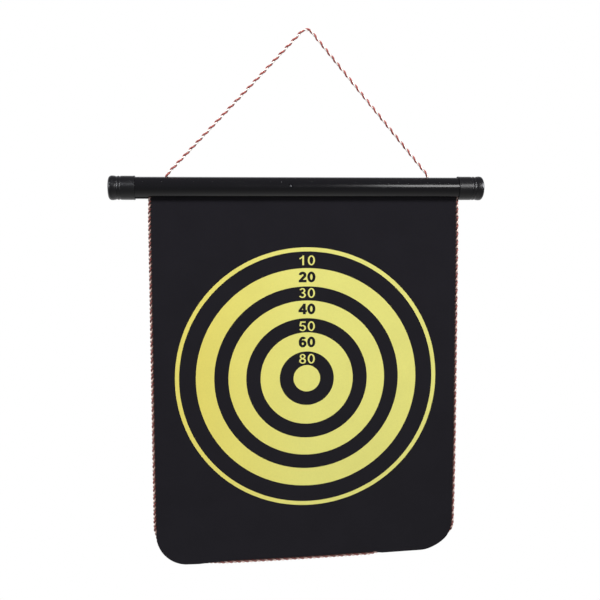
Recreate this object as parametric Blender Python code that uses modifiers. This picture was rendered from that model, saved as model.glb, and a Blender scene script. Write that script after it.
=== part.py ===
"""Roll-up magnetic dartboard: a slotted roller tube with push-on end caps, a twisted
hanging cord, and a magnetic sheet with a printed cloth face and a corded edge.

Metres, +Z up. +X is to the right of someone facing the target and the target faces -Y.
The origin is the point of the hanging cord that rests on the nail. The sheet is cut
across into bands, each on its own hinge line, so that it can roll up behind its face.
"""

import math

import bmesh
import bpy
from mathutils import Matrix

MM = 0.001
GAP = 0.3 * MM  # running gap kept between neighbours
HALF_GAP = GAP / 2

# roller tube, along X
TUBE_R = 12.25 * MM
TUBE_WALL = 1.5 * MM
TUBE_INNER_R = TUBE_R - TUBE_WALL
TUBE_CX = -8.6 * MM
OVERALL_HALF = 211.6 * MM  # half of the length over both end caps
AXIS_Z = -172.6 * MM  # tube axis, below the nail
TUBE_SEGMENTS = 44

# slot along the underside of the tube, forward of its axis
SLOT_FRONT_Y = -7.3 * MM
SLOT_REAR_Y = -3.5 * MM

# end caps
CAP_LENGTH = 29.5 * MM
CAP_END = 2.5 * MM  # thickness of the closed end
CAP_BORE_R = TUBE_R + GAP
CAP_STEPS = 40
# (radius, height above the open end) in mm: rounded end, swelling, two grooves, lip
CAP_OUTSIDE = [
    (0.0, 29.5), (8.2, 29.4), (10.4, 28.9), (12.0, 27.6), (12.9, 25.9), (13.35, 23.8),
    (13.45, 22.2), (13.3, 20.7),
    (12.95, 20.1), (12.95, 19.3), (13.3, 18.8), (13.3, 17.2),
    (12.95, 16.7), (12.95, 16.0), (13.3, 15.5),
    (13.3, 1.7), (13.5, 1.3), (13.5, 0.2), (13.3, 0.0),
]

# edge cord and hanging cord
CORD_R = 1.4 * MM
CORNER_R = 35.0 * MM  # of the edge cord's centre line
EDGE_CORD_TOP_Z = AXIS_Z - 9.0 * MM
EDGE_CORD_END_GAP = 0.5 * MM  # from each cord end to its hinge line

# sheet: printed cloth in front, magnetic rubber behind it, cord round the edge
SHEET_CX = -1.3 * MM
SHEET_HALF = 174.5 * MM  # to the outside of the edge cord
SHEET_BOTTOM_Z = -604.0 * MM  # outside of the edge cord
SHEET_FRONT_Y = -6.5 * MM
CLOTH_T = 0.5 * MM
MAGNET_T = 1.4 * MM
CLOTH_BACK_Y = SHEET_FRONT_Y + CLOTH_T
MAGNET_FRONT_Y = CLOTH_BACK_Y + GAP
MAGNET_BACK_Y = MAGNET_FRONT_Y + MAGNET_T
SHEET_MID_Y = (SHEET_FRONT_Y + MAGNET_BACK_Y) / 2
CORD_X = SHEET_HALF - CORD_R  # cord centre line, from the middle of the sheet
EDGE_INSET = CORD_R + GAP  # from the cord's centre line in to the edge of the sheet
CLOTH_X = CORD_X - EDGE_INSET
CORNER_Z = SHEET_BOTTOM_Z + CORD_R + CORNER_R  # centre of the rounded corners
CORNER_STEPS = 12

# hinge lines: the first, then the height of each band but the last, from the top down
FIRST_HINGE_Z = -232.0 * MM
BAND_HEIGHTS = (36.2, 35.4, 34.6, 33.8, 33.6, 32.0, 30.6, 29.2, 28.0, 27.0, 25.8)  # mm
HINGE_Y = SHEET_MID_Y + CORD_R
HINGE_Z = [FIRST_HINGE_Z]
for band_height in BAND_HEIGHTS:
    HINGE_Z.append(HINGE_Z[-1] - band_height * MM)

# retaining rod and the hem round it
ROD_R = 2.3 * MM
ROD_Y = CLOTH_BACK_Y + GAP + ROD_R
ROD_Z = AXIS_Z + 0.4 * MM
ROD_HALF = 171.0 * MM
ROD_SEGMENTS = 20
HEM_END_ANGLE = math.radians(-25.0)  # from +Y, where the hem ends behind the rod
MAGNET_TOP_Z = ROD_Z - ROD_R - 0.4 * MM

# hanging cord, its holes and its knots
HOLE_HALF = 147.8 * MM
HOLE_R = 2.0 * MM
HOLE_STEPS = 20
LEFT_FOOT_X = TUBE_CX - HOLE_HALF
RIGHT_FOOT_X = TUBE_CX + HOLE_HALF
SWING_Z = AXIS_Z + TUBE_R + 1.85 * MM  # lower ends of the cord, where the roller swings
CORD_TILT = math.pi / 8  # half a facet of the cord
APEX_Z = CORD_R * math.cos(CORD_TILT)  # puts the underside of the faceted cord at z = 0
APEX_FLAT_HALF = 2.2 * MM
APEX_BEND_R = 4.5 * MM
KNOT_R = 3.1 * MM
NECK_R = 1.4 * MM
KNOT_STEPS = 16

# set screw in the front of the tube; heights are distances out from the tube's axis
SCREW_X = -19.2 * MM
SCREW_ANGLE = math.radians(10.0)  # above the tube's front
SCREW_HEAD_R = 1.7 * MM
SCREW_SHANK_R = 0.95 * MM
SCREW_SEAT = 11.65 * MM  # underside of the head
SCREW_TIP = 7.3 * MM
SCREW_STEPS = 16
SCREW_MATRIX = (
    Matrix.Translation((SCREW_X, 0.0, AXIS_Z))
    @ Matrix.Rotation(math.pi / 2 - SCREW_ANGLE, 4, "X")
)


# ---------------------------------------------------------------- scene and materials
for old in list(bpy.data.objects):
    bpy.data.objects.remove(old, do_unlink=True)

PART = bpy.data.collections.new("magnetic_dartboard")
CUTTERS = bpy.data.collections.new("cutters")
bpy.context.scene.collection.children.link(PART)
bpy.context.scene.collection.children.link(CUTTERS)


def material(name, color, roughness, metallic=0.0):
    mat = bpy.data.materials.new(name)
    mat.use_nodes = True
    shader = mat.node_tree.nodes["Principled BSDF"]
    shader.inputs["Base Color"].default_value = (*color, 1.0)
    shader.inputs["Roughness"].default_value = roughness
    shader.inputs["Metallic"].default_value = metallic
    mat.diffuse_color = (*color, 1.0)
    return mat


BLACK_PLASTIC = material("black_plastic", color=(0.012, 0.012, 0.014), roughness=0.28)
CAP_PLASTIC = material("cap_plastic", color=(0.014, 0.014, 0.016), roughness=0.32)
BLACK_CLOTH = material("black_cloth", color=(0.017, 0.016, 0.021), roughness=0.85)
MAGNET_RUBBER = material("magnet_rubber", color=(0.03, 0.028, 0.027), roughness=0.7)
RED_CORD = material("red_cord", color=(0.55, 0.06, 0.04), roughness=0.75)
STEEL = material("steel", color=(0.35, 0.35, 0.36), roughness=0.3, metallic=1.0)
ROD_PLASTIC = material("rod_plastic", color=(0.25, 0.25, 0.26), roughness=0.5)

# the sheet's two layers: name, front y, back y, material
LAYERS = (
    ("target_cloth", SHEET_FRONT_Y, CLOTH_BACK_Y, BLACK_CLOTH),
    ("magnetic_sheet", MAGNET_FRONT_Y, MAGNET_BACK_Y, MAGNET_RUBBER),
)


# ---------------------------------------------------------------- building helpers
def attach(obj, parent, collection=PART):
    """Link an object and parent it without moving it."""
    collection.objects.link(obj)
    if parent is not None:
        bpy.context.view_layer.update()  # brings the parent's world matrix up to date
        obj.parent = parent
        obj.matrix_parent_inverse = parent.matrix_world.inverted()
    return obj


def place(obj, mat, parent, collection=PART):
    obj.data.materials.append(mat)
    return attach(obj, parent, collection)


def pivot(name, location, parent=None):
    empty = bpy.data.objects.new(name, None)
    empty.empty_display_size = 0.01
    empty.location = location
    return attach(empty, parent)


def mesh_object(name, shape):
    """An unlinked mesh object made from a bmesh, which is freed."""
    mesh = bpy.data.meshes.new(name)
    shape.to_mesh(mesh)
    shape.free()
    return bpy.data.objects.new(name, mesh)


def box(name, low, high, mat, parent):
    """A plate between two corners, from a unit cube scaled in the mesh."""
    shape = bmesh.new()
    bmesh.ops.create_cube(shape, size=1.0)
    size = [end - start for start, end in zip(low, high)]
    bmesh.ops.scale(shape, vec=size, verts=shape.verts)
    obj = mesh_object(name, shape)
    obj.location = [(start + end) / 2 for start, end in zip(low, high)]
    return place(obj, mat, parent)


def curve_to_mesh(obj, mat, parent):
    """Replace a curve object by a mesh with its loose caps welded, in place."""
    PART.objects.link(obj)
    bpy.context.view_layer.update()
    evaluated = obj.evaluated_get(bpy.context.evaluated_depsgraph_get())
    source = bpy.data.meshes.new_from_object(evaluated)
    matrix = obj.matrix_world.copy()
    name = obj.name
    bpy.data.objects.remove(obj, do_unlink=True)
    shape = bmesh.new()
    shape.from_mesh(source)
    bpy.data.meshes.remove(source)
    bmesh.ops.remove_doubles(shape, verts=shape.verts, dist=1e-6)
    bmesh.ops.recalc_face_normals(shape, faces=shape.faces)
    made = mesh_object(name, shape)
    made.matrix_world = matrix
    return place(made, mat, parent)


def extruded(name, outline, depth, rotation, location, mat, parent):
    """A filled outline in the local XY plane, extruded both ways along local Z."""
    curve = bpy.data.curves.new(name, "CURVE")
    curve.dimensions = "2D"
    curve.fill_mode = "BOTH"
    curve.extrude = depth / 2
    spline = curve.splines.new("POLY")
    spline.points.add(len(outline) - 1)
    for point, (x, y) in zip(spline.points, outline):
        point.co = (x, y, 0.0, 1.0)
    spline.use_cyclic_u = True
    obj = bpy.data.objects.new(name, curve)
    obj.rotation_euler = rotation
    obj.location = location
    return curve_to_mesh(obj, mat, parent)


def plate_xz(name, outline, front, back, mat, parent):
    """A plate whose outline lies in the XZ plane."""
    rotation = (math.pi / 2, 0.0, 0.0)
    location = (0.0, (front + back) / 2, 0.0)
    return extruded(name, outline, back - front, rotation, location, mat, parent)


def bar_x(name, outline, centre_x, half_length, mat, parent):
    """A bar along X whose section is an outline in the YZ plane."""
    rotation = (math.pi / 2, 0.0, math.pi / 2)
    location = (centre_x, 0.0, 0.0)
    return extruded(name, outline, 2 * half_length, rotation, location, mat, parent)


def turned(name, profile, steps, mat, matrix, parent=None, collection=PART):
    """A profile of (radius, height), from the top of the axis down, turned about Z."""
    shape = bmesh.new()
    verts = [shape.verts.new((radius, 0.0, height)) for radius, height in profile]
    for pair in zip(verts, verts[1:]):
        shape.edges.new(pair)
    obj = mesh_object(name, shape)
    screw = obj.modifiers.new("turn", "SCREW")
    screw.axis = "Z"
    screw.angle = 2 * math.pi
    screw.steps = steps
    screw.render_steps = steps
    screw.use_merge_vertices = True
    screw.merge_threshold = 1e-6
    obj.matrix_world = matrix
    return place(obj, mat, parent, collection)


def cut_turned(obj, name, profile, steps, mat, matrix):
    """Cut a turned hole in an object."""
    cutter = turned(name, profile, steps, mat, matrix, collection=CUTTERS)
    cutter.hide_render = True
    cutter.display_type = "WIRE"
    boolean = obj.modifiers.new("cut_" + name, "BOOLEAN")
    boolean.operation = "DIFFERENCE"
    boolean.solver = "EXACT"
    boolean.object = cutter


def cord(name, path, parent, tilt=0.0):
    """A round cord along a path of (x, y, z), with filled ends."""
    curve = bpy.data.curves.new(name, "CURVE")
    curve.dimensions = "3D"
    curve.bevel_depth = CORD_R
    curve.bevel_resolution = 2
    curve.use_fill_caps = True
    curve.twist_mode = "Z_UP"
    spline = curve.splines.new("POLY")
    spline.points.add(len(path) - 1)
    for point, position in zip(spline.points, path):
        point.co = (*position, 1.0)
        point.tilt = tilt
    return curve_to_mesh(bpy.data.objects.new(name, curve), RED_CORD, parent)


def arc(centre_x, centre_y, radius, start, end, count):
    """Points on an arc, both ends included."""
    angles = [start + (end - start) * i / count for i in range(count + 1)]
    return [
        (centre_x + radius * math.cos(angle), centre_y + radius * math.sin(angle))
        for angle in angles
    ]


# ---------------------------------------------------------------- roller
def tube_outline():
    """Section of the slotted tube: outside from slot rear to slot front, then back inside."""
    def lower_angle(y, radius):
        return -math.acos(y / radius)

    outside = arc(
        0.0, AXIS_Z, TUBE_R, lower_angle(SLOT_REAR_Y, TUBE_R),
        lower_angle(SLOT_FRONT_Y, TUBE_R) + 2 * math.pi, TUBE_SEGMENTS,
    )
    inside = arc(
        0.0, AXIS_Z, TUBE_INNER_R, lower_angle(SLOT_FRONT_Y, TUBE_INNER_R) + 2 * math.pi,
        lower_angle(SLOT_REAR_Y, TUBE_INNER_R), TUBE_SEGMENTS,
    )
    return outside + inside


def build_tube(roller):
    half_length = OVERALL_HALF - CAP_END - GAP
    tube = bar_x("roller_tube", tube_outline(), TUBE_CX, half_length, BLACK_PLASTIC, roller)

    head_r = SCREW_HEAD_R + GAP
    shank_r = SCREW_SHANK_R + GAP
    seat = SCREW_SEAT - GAP
    outer, inner = 16 * MM, 8 * MM  # clear of the wall on both sides
    screw_hole = [
        (0.0, outer), (head_r, outer), (head_r, seat),
        (shank_r, seat), (shank_r, inner), (0.0, inner),
    ]
    cut_turned(tube, "screw_hole", screw_hole, SCREW_STEPS, STEEL, SCREW_MATRIX)

    top, bottom = 20 * MM, 6 * MM  # through the top wall only
    cord_hole = [(0.0, top), (HOLE_R, top), (HOLE_R, bottom), (0.0, bottom)]
    for side, x in (("left", LEFT_FOOT_X), ("right", RIGHT_FOOT_X)):
        matrix = Matrix.Translation((x, 0.0, AXIS_Z))
        cut_turned(tube, f"cord_hole_{side}", cord_hole, HOLE_STEPS, BLACK_PLASTIC, matrix)


def build_set_screw(roller):
    """A flush domed head over a shank that reaches the hem round the rod."""
    profile = [
        (0.0, 12.32 * MM), (0.9 * MM, 12.25 * MM), (SCREW_HEAD_R, 11.95 * MM),
        (SCREW_HEAD_R, SCREW_SEAT), (SCREW_SHANK_R, SCREW_SEAT),
        (SCREW_SHANK_R, 7.9 * MM), (0.5 * MM, SCREW_TIP), (0.0, SCREW_TIP),
    ]
    turned("centre_set_screw", profile, SCREW_STEPS, STEEL, SCREW_MATRIX, roller)


def build_end_caps(roller):
    """Each cap on a pivot at its closed end."""
    profile = [(radius * MM, height * MM) for radius, height in CAP_OUTSIDE]
    bore_end = CAP_LENGTH - CAP_END
    profile += [(CAP_BORE_R, 0.0), (CAP_BORE_R, bore_end), (0.0, bore_end)]
    for side, sign in (("left", -1), ("right", 1)):
        end_x = TUBE_CX + sign * OVERALL_HALF
        slide = pivot(f"{side}_cap_slide", (end_x, 0.0, AXIS_Z), roller)
        matrix = (
            Matrix.Translation((end_x - sign * CAP_LENGTH, 0.0, AXIS_Z))
            @ Matrix.Rotation(sign * math.pi / 2, 4, "Y")
        )
        turned(f"{side}_end_cap", profile, CAP_STEPS, CAP_PLASTIC, matrix, slide)


def build_rod(roller):
    shape = bmesh.new()
    bmesh.ops.create_cone(
        shape, cap_ends=True, segments=ROD_SEGMENTS,
        radius1=ROD_R, radius2=ROD_R, depth=2 * ROD_HALF,
    )
    rod = mesh_object("retaining_rod", shape)
    rod.matrix_world = (
        Matrix.Translation((SHEET_CX, ROD_Y, ROD_Z)) @ Matrix.Rotation(math.pi / 2, 4, "Y")
    )
    place(rod, ROD_PLASTIC, roller)


# ---------------------------------------------------------------- hanging cord
def apex_bend(foot_x, sign):
    """(x, z) points from the flat at the nail round the bend, until it points at its hole."""
    centre_x = sign * APEX_FLAT_HALF
    centre_z = APEX_Z - APEX_BEND_R
    turn = 0.0
    for _ in range(30):  # settles on the bend end whose tangent meets the hole
        x = centre_x + sign * APEX_BEND_R * math.sin(turn)
        z = centre_z + APEX_BEND_R * math.cos(turn)
        turn = math.atan2(z - SWING_Z, sign * (foot_x - x))
    return arc(centre_x, centre_z, APEX_BEND_R, math.pi / 2, math.pi / 2 - sign * turn, 5)


def build_hanging_cord(hanger):
    path = [(LEFT_FOOT_X, SWING_Z)]
    path += apex_bend(LEFT_FOOT_X, -1)[::-1]
    path += apex_bend(RIGHT_FOOT_X, 1)
    path += [(RIGHT_FOOT_X, SWING_Z)]
    cord("hanging_cord", [(x, 0.0, z) for x, z in path], hanger, tilt=CORD_TILT)


def build_knots(roller):
    """Balls just inside the tube wall, each with a neck up through its hole."""
    centre = TUBE_INNER_R - GAP - KNOT_R
    neck_angle = math.acos(NECK_R / KNOT_R)  # where the neck meets the ball
    profile = [(0.0, TUBE_R), (NECK_R, TUBE_R)]
    profile += arc(0.0, centre, KNOT_R, neck_angle, -math.pi / 2, 8)[:-1]
    profile += [(0.0, centre - KNOT_R)]
    for side, x in (("left", LEFT_FOOT_X), ("right", RIGHT_FOOT_X)):
        matrix = Matrix.Translation((x, 0.0, AXIS_Z))
        turned(f"cord_knot_{side}", profile, KNOT_STEPS, RED_CORD, matrix, roller)


# ---------------------------------------------------------------- sheet
def half_width(z, inset):
    """Half the width of the sheet at this height, this far inside the cord's centre line."""
    if z >= CORNER_Z:
        return CORD_X - inset
    radius = CORNER_R - inset
    drop = min(CORNER_Z - z, radius)
    return CORD_X - CORNER_R + math.sqrt(max(radius * radius - drop * drop, 0.0))


def corner_band_outline(top, bottom):
    """The outline of a band that takes in part of the rounded corners."""
    radius = CORNER_R - EDGE_INSET
    levels = [top]
    for i in range(CORNER_STEPS + 1):
        z = CORNER_Z - radius * math.sin(math.pi / 2 * i / CORNER_STEPS)
        if bottom < z < top:
            levels.append(z)
    levels.append(max(bottom, CORNER_Z - radius))
    right = [(SHEET_CX + half_width(z, EDGE_INSET), z) for z in levels]
    left = [(2 * SHEET_CX - x, z) for x, z in right]
    return right[::-1] + left  # from the bottom right up, over the top, and down the left


def sheet_box(name, bottom, top, front, back, mat, parent):
    """A plate over the full width inside the edge cord."""
    low = (SHEET_CX - CLOTH_X, front, bottom)
    high = (SHEET_CX + CLOTH_X, back, top)
    box(name, low, high, mat, parent)


def hem_outline():
    """Section of the top of the cloth: up through the slot and round the rod."""
    inner = ROD_R + GAP
    outer = inner + CLOTH_T
    bottom = FIRST_HINGE_Z + HALF_GAP
    outline = [(ROD_Y - outer, bottom), (ROD_Y - outer, ROD_Z)]
    outline += arc(ROD_Y, ROD_Z, outer, math.pi, HEM_END_ANGLE, 14)[1:]
    outline += arc(ROD_Y, ROD_Z, inner, HEM_END_ANGLE, math.pi, 14)
    outline += [(ROD_Y - inner, bottom)]
    return outline[::-1]


def build_sheet(bands):
    """Cloth and magnet of every band; band 0 hangs from the roller."""
    roller = bands[0]
    bar_x("target_cloth_00", hem_outline(), SHEET_CX, CLOTH_X, BLACK_CLOTH, roller)
    sheet_box(
        "magnetic_sheet_00", FIRST_HINGE_Z + HALF_GAP, MAGNET_TOP_Z,
        MAGNET_FRONT_Y, MAGNET_BACK_Y, MAGNET_RUBBER, roller,
    )
    edges = HINGE_Z + [SHEET_BOTTOM_Z]
    for number in range(1, len(edges)):
        top = edges[number - 1] - HALF_GAP
        bottom = edges[number] + HALF_GAP
        for layer, front, back, mat in LAYERS:
            name = f"{layer}_{number:02d}"
            if bottom >= CORNER_Z:
                sheet_box(name, bottom, top, front, back, mat, bands[number])
            else:
                outline = corner_band_outline(top, bottom)
                plate_xz(name, outline, front, back, mat, bands[number])


def build_side_cords(bands):
    """A length of edge cord on each side of every band but the last."""
    tops = [EDGE_CORD_TOP_Z] + [z - EDGE_CORD_END_GAP for z in HINGE_Z]
    for number, hinge_z in enumerate(HINGE_Z):
        bottom = hinge_z + EDGE_CORD_END_GAP
        levels = [tops[number]]
        if bottom < CORNER_Z:
            levels += [CORNER_Z + (bottom - CORNER_Z) * i / 3 for i in range(3)]
        levels.append(bottom)
        for side, sign in (("left", -1), ("right", 1)):
            path = [(SHEET_CX + sign * half_width(z, 0.0), SHEET_MID_Y, z) for z in levels]
            cord(f"edge_cord_{side}_{number:02d}", path, bands[number])


def build_bottom_cord(last_band):
    """The last length: down the left side, along the bottom and up the right side."""
    top = HINGE_Z[-1] - EDGE_CORD_END_GAP
    start = math.asin((CORNER_Z - top) / CORNER_R)
    corner = arc(CORD_X - CORNER_R, CORNER_Z, CORNER_R, -start, -math.pi / 2, 8)
    path = [(SHEET_CX - x, SHEET_MID_Y, z) for x, z in corner]
    path += [(SHEET_CX + x, SHEET_MID_Y, z) for x, z in corner[::-1]]
    cord("edge_cord_bottom", path, last_band)


# ---------------------------------------------------------------- assembly
def build_dartboard():
    hanger = pivot("hanger", (0.0, 0.0, 0.0))
    roller = pivot("roller", (TUBE_CX, 0.0, SWING_Z), hanger)
    bands = [roller]  # each band hangs from the one above it
    for number, z in enumerate(HINGE_Z, 1):
        bands.append(pivot(f"band_{number:02d}", (SHEET_CX, HINGE_Y, z), bands[-1]))

    build_tube(roller)
    build_set_screw(roller)
    build_end_caps(roller)
    build_hanging_cord(hanger)
    build_knots(roller)
    build_rod(roller)
    build_sheet(bands)
    build_side_cords(bands)
    build_bottom_cord(bands[-1])


build_dartboard()
bpy.context.view_layer.update()
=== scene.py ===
"""Looks of a roll-up magnetic dartboard.

The board hangs in the XZ plane: +X is right, -Y is the front and +Z is up. The sheet hangs from
a roller tube that lies along X, and the hanging cord rises from the tube to z = 0. Positions come
from the boxes of the frame's nodes. The sheet is one continuous drape, cut at the middle of each
strip, so that each piece but the lowest holds one hinge.
Lengths are in millimetres until a mesh is made. The studio at the end is in metres.
"""

import math
from collections import namedtuple

import bmesh
import bpy
import numpy as np
from mathutils import Matrix, Vector
from mathutils.geometry import delaunay_2d_cdt


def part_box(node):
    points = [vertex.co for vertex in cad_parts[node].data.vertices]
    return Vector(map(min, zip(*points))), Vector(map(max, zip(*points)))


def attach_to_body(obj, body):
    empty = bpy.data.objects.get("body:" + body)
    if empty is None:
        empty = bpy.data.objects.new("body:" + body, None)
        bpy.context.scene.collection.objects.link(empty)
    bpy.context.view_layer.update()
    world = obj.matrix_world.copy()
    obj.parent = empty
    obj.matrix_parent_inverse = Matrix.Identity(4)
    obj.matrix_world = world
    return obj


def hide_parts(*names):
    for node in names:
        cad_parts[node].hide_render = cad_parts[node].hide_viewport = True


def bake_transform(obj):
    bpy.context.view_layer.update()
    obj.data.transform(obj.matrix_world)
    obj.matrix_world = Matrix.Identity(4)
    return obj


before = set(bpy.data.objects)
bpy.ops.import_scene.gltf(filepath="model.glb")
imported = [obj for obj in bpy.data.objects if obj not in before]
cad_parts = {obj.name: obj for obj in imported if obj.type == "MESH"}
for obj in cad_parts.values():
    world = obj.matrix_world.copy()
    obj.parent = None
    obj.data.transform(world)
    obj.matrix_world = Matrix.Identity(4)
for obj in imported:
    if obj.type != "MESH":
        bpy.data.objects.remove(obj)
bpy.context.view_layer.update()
MM = 0.001
TURN = 2 * math.pi


def node_box(name):
    """A node's lowest and highest corner."""
    low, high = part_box(name)
    return [v / MM for v in low], [v / MM for v in high]


def node_centre(name):
    low, high = node_box(name)
    return [(a + b) / 2 for a, b in zip(low, high)]


# ---------------------------------------------------------------- measures taken from the frame
AXIS_Z = node_centre("left_end_cap")[2]
tube_low, tube_high = node_box("roller_tube")
TUBE_R = (tube_high[1] - tube_low[1]) / 2
TUBE_X = (tube_low[0], tube_high[0])
TUBE_WALL = 1.5
SLOT_Y = (-6.85, -4.2)  # front and rear side of the slot in the underside of the tube

cloth_low, cloth_high = node_box("target_cloth_05")
FRONT_Y, CLOTH_BACK_Y = cloth_low[1], cloth_high[1]
CX = (cloth_low[0] + cloth_high[0]) / 2
MAGNET_FRONT_Y = CLOTH_BACK_Y + 0.01
MAGNET_BACK_Y = node_box("magnetic_sheet_05")[1][1]

cord_middle = node_centre("edge_cord_right_05")
CORD_HALF = cord_middle[0] - CX  # from the middle of the sheet to the edge cord's centre line
CORD_Y = cord_middle[1]
cord_bottom = node_box("edge_cord_bottom")[0][2]
BOTTOM_Z = cord_bottom + 1.4  # centre line of the edge cord along the bottom
CORNER_R = 35.0
CORNER_Z = BOTTOM_Z + CORNER_R

HINGES = [
    (node_box(f"target_cloth_{k - 1:02d}")[0][2] + node_box(f"target_cloth_{k:02d}")[1][2]) / 2
    for k in range(1, 13)
]
MIDS = [HINGES[0] + 18.0]  # heights where the sheet is cut into pieces
MIDS += [(a + b) / 2 for a, b in zip(HINGES, HINGES[1:])]
MIDS += [(HINGES[-1] + cord_bottom) / 2]

rod_low, rod_high = node_box("retaining_rod")
ROD_X, ROD_Y, ROD_Z = node_centre("retaining_rod")
ROD_R = (rod_high[2] - rod_low[2]) / 2
FEET_X = sorted(node_centre(f"cord_knot_{side}")[0] for side in ("left", "right"))
SCREW_X = node_centre("centre_set_screw")[0]

TARGET_X, TARGET_Z = 0.0, -389.0  # centre of the rings
RINGS = (15.31, 31.12, 53.09, 69.42, 89.61, 105.73, 126.44, 145.35, 150.0)  # radii


# ---------------------------------------------------------------- shader helpers
def add_node(tree, kind, inputs=None, **settings):
    """A node with these settings; each input is either a value or a socket to link."""
    node = tree.nodes.new(kind)
    for key, value in settings.items():
        setattr(node, key, value)
    for key, value in (inputs or {}).items():
        if isinstance(value, bpy.types.NodeSocket):
            tree.links.new(value, node.inputs[key])
        else:
            node.inputs[key].default_value = value
    return node


def map_range(tree, value, source, to):
    inputs = dict(enumerate((value, *source, *to)))
    return add_node(tree, "ShaderNodeMapRange", inputs).outputs[0]


def grey(value):
    return (value, value, value)


class Shader:
    """A small wrapper that adds nodes to one material."""

    def __init__(self, name, color, roughness, specular=0.5):
        self.material = bpy.data.materials.new(name)
        self.material.use_nodes = True
        self.material.diffuse_color = (*color, 1)
        self.tree = self.material.node_tree
        self.bsdf = next(n for n in self.tree.nodes if n.type == "BSDF_PRINCIPLED")
        self.set("Base Color", (*color, 1))
        self.set("Roughness", roughness)
        self.set("Specular IOR Level", specular)

    def set(self, key, value):
        self.bsdf.inputs[key].default_value = value

    def out(self, key, socket):
        self.tree.links.new(socket, self.bsdf.inputs[key])

    def math(self, operation, *values):
        inputs = dict(enumerate(values))
        return add_node(self.tree, "ShaderNodeMath", inputs, operation=operation).outputs[0]

    def add(self, a, b):
        return self.math("ADD", a, b)

    def times(self, a, b):
        return self.math("MULTIPLY", a, b)

    def to_unit(self, wave):
        """Brings a wave from -1..1 to 0..1."""
        return self.add(self.times(wave, 0.5), 0.5)

    def coords(self, uv=None, scale=(1, 1, 1), rotation=(0, 0, 0)):
        """Scaled coordinates: a UV map's if one is named, otherwise the object's own."""
        if uv:
            source = add_node(self.tree, "ShaderNodeUVMap", uv_map=uv).outputs[0]
        else:
            source = add_node(self.tree, "ShaderNodeTexCoord").outputs["Object"]
        inputs = {"Vector": source, "Scale": scale, "Rotation": rotation}
        return add_node(self.tree, "ShaderNodeMapping", inputs).outputs[0]

    def noise(self, vector, scale=1.0, detail=3.0, roughness=0.55):
        inputs = {"Vector": vector, "Scale": scale, "Detail": detail, "Roughness": roughness}
        return add_node(self.tree, "ShaderNodeTexNoise", inputs).outputs["Fac"]

    def split(self, vector):
        return add_node(self.tree, "ShaderNodeSeparateXYZ", {0: vector}).outputs

    def attribute(self, name):
        node = add_node(self.tree, "ShaderNodeAttribute", attribute_name=name)
        return node.outputs["Fac"]

    def ramp(self, factor, *stops):
        """A colour ramp through stops of (position, colour)."""
        node = add_node(self.tree, "ShaderNodeValToRGB", {0: factor})
        elements = node.color_ramp.elements
        while len(elements) < len(stops):
            elements.new(0.5)
        for element, (position, color) in zip(elements, stops):
            element.position = position
            element.color = (*color, 1)
        return node.outputs[0]

    def span(self, value, source, to):
        return map_range(self.tree, value, source, to)

    def mix(self, factor, a, b, mode="MIX"):
        a, b = ((*v, 1) if isinstance(v, tuple) else v for v in (a, b))
        inputs = {0: factor, 6: a, 7: b}  # the mix node's factor and its two colours
        node = add_node(self.tree, "ShaderNodeMix", None, data_type="RGBA", blend_type=mode)
        for key, value in inputs.items():
            if isinstance(value, bpy.types.NodeSocket):
                self.tree.links.new(value, node.inputs[key])
            else:
                node.inputs[key].default_value = value
        return node.outputs[2]

    def multiply(self, a, b):
        return self.mix(1.0, a, b, "MULTIPLY")

    def bump(self, height, strength, distance, normal=None):
        inputs = {"Height": height, "Strength": strength, "Distance": distance}
        if normal is not None:
            inputs["Normal"] = normal
        return add_node(self.tree, "ShaderNodeBump", inputs).outputs[0]


# ---------------------------------------------------------------- materials
def weave_height(mat, uv, pitch):
    """A plain weave: bumps where one thread crosses the other, in a checker of half the pitch."""
    wobble = mat.noise(uv, scale=300.0, detail=2.0)
    x, y, _ = mat.split(uv)
    waves_per_metre = TURN / (pitch * MM)
    sway = mat.times(wobble, 1.1)
    across, up = (
        mat.math("SINE", mat.add(mat.times(axis, waves_per_metre), sway)) for axis in (x, y)
    )
    return mat.to_unit(mat.times(across, up))


def cloth_material(name, color, mottled, weave, warm=None):
    """Woven cloth. mottled and weave are strengths; warm is the colour towards the left side."""
    mat = Shader(name, color, roughness=0.88, specular=0.12)
    mat.set("Sheen Weight", 0.04)
    mat.set("Sheen Roughness", 0.5)
    uv = mat.coords("sheet")
    threads = weave_height(mat, uv, pitch=0.92)
    cloudy = mat.noise(uv, scale=22.0, detail=4.0, roughness=0.6)
    fine = mat.noise(uv, scale=420.0, roughness=0.7)
    fibres = mat.noise(mat.coords("sheet", scale=(260, 1500, 1)), detail=2.0)
    if warm:
        x, _, _ = mat.split(uv)
        base = mat.mix(mat.span(x, source=(-0.125, 0.0), to=(1.0, 0.0)), color, warm)
    else:
        base = mat.mix(0.0, color, color)
    tint = mat.ramp(cloudy, (0.3, grey(1 - mottled * 1.2)), (0.7, grey(1 + mottled * 0.4)))
    base = mat.multiply(base, tint)
    grain = mat.ramp(fine, (0.25, grey(1 - mottled * 1.5)), (0.75, grey(1.0 + mottled * 0.5)))
    base = mat.multiply(base, grain)
    crossings = mat.ramp(threads, (0.05, grey(1 - 2.2 * weave)), (0.6, grey(1)))
    mat.out("Base Color", mat.multiply(base, crossings))
    height = mat.add(threads, mat.times(fibres, 0.5))
    clouds = mat.bump(cloudy, strength=0.25, distance=0.0006)
    mat.out("Normal", mat.bump(height, strength=0.5, distance=0.00006, normal=clouds))
    mat.out("Roughness", mat.span(fine, source=(0.3, 0.7), to=(0.82, 0.95)))
    return mat.material


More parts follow.
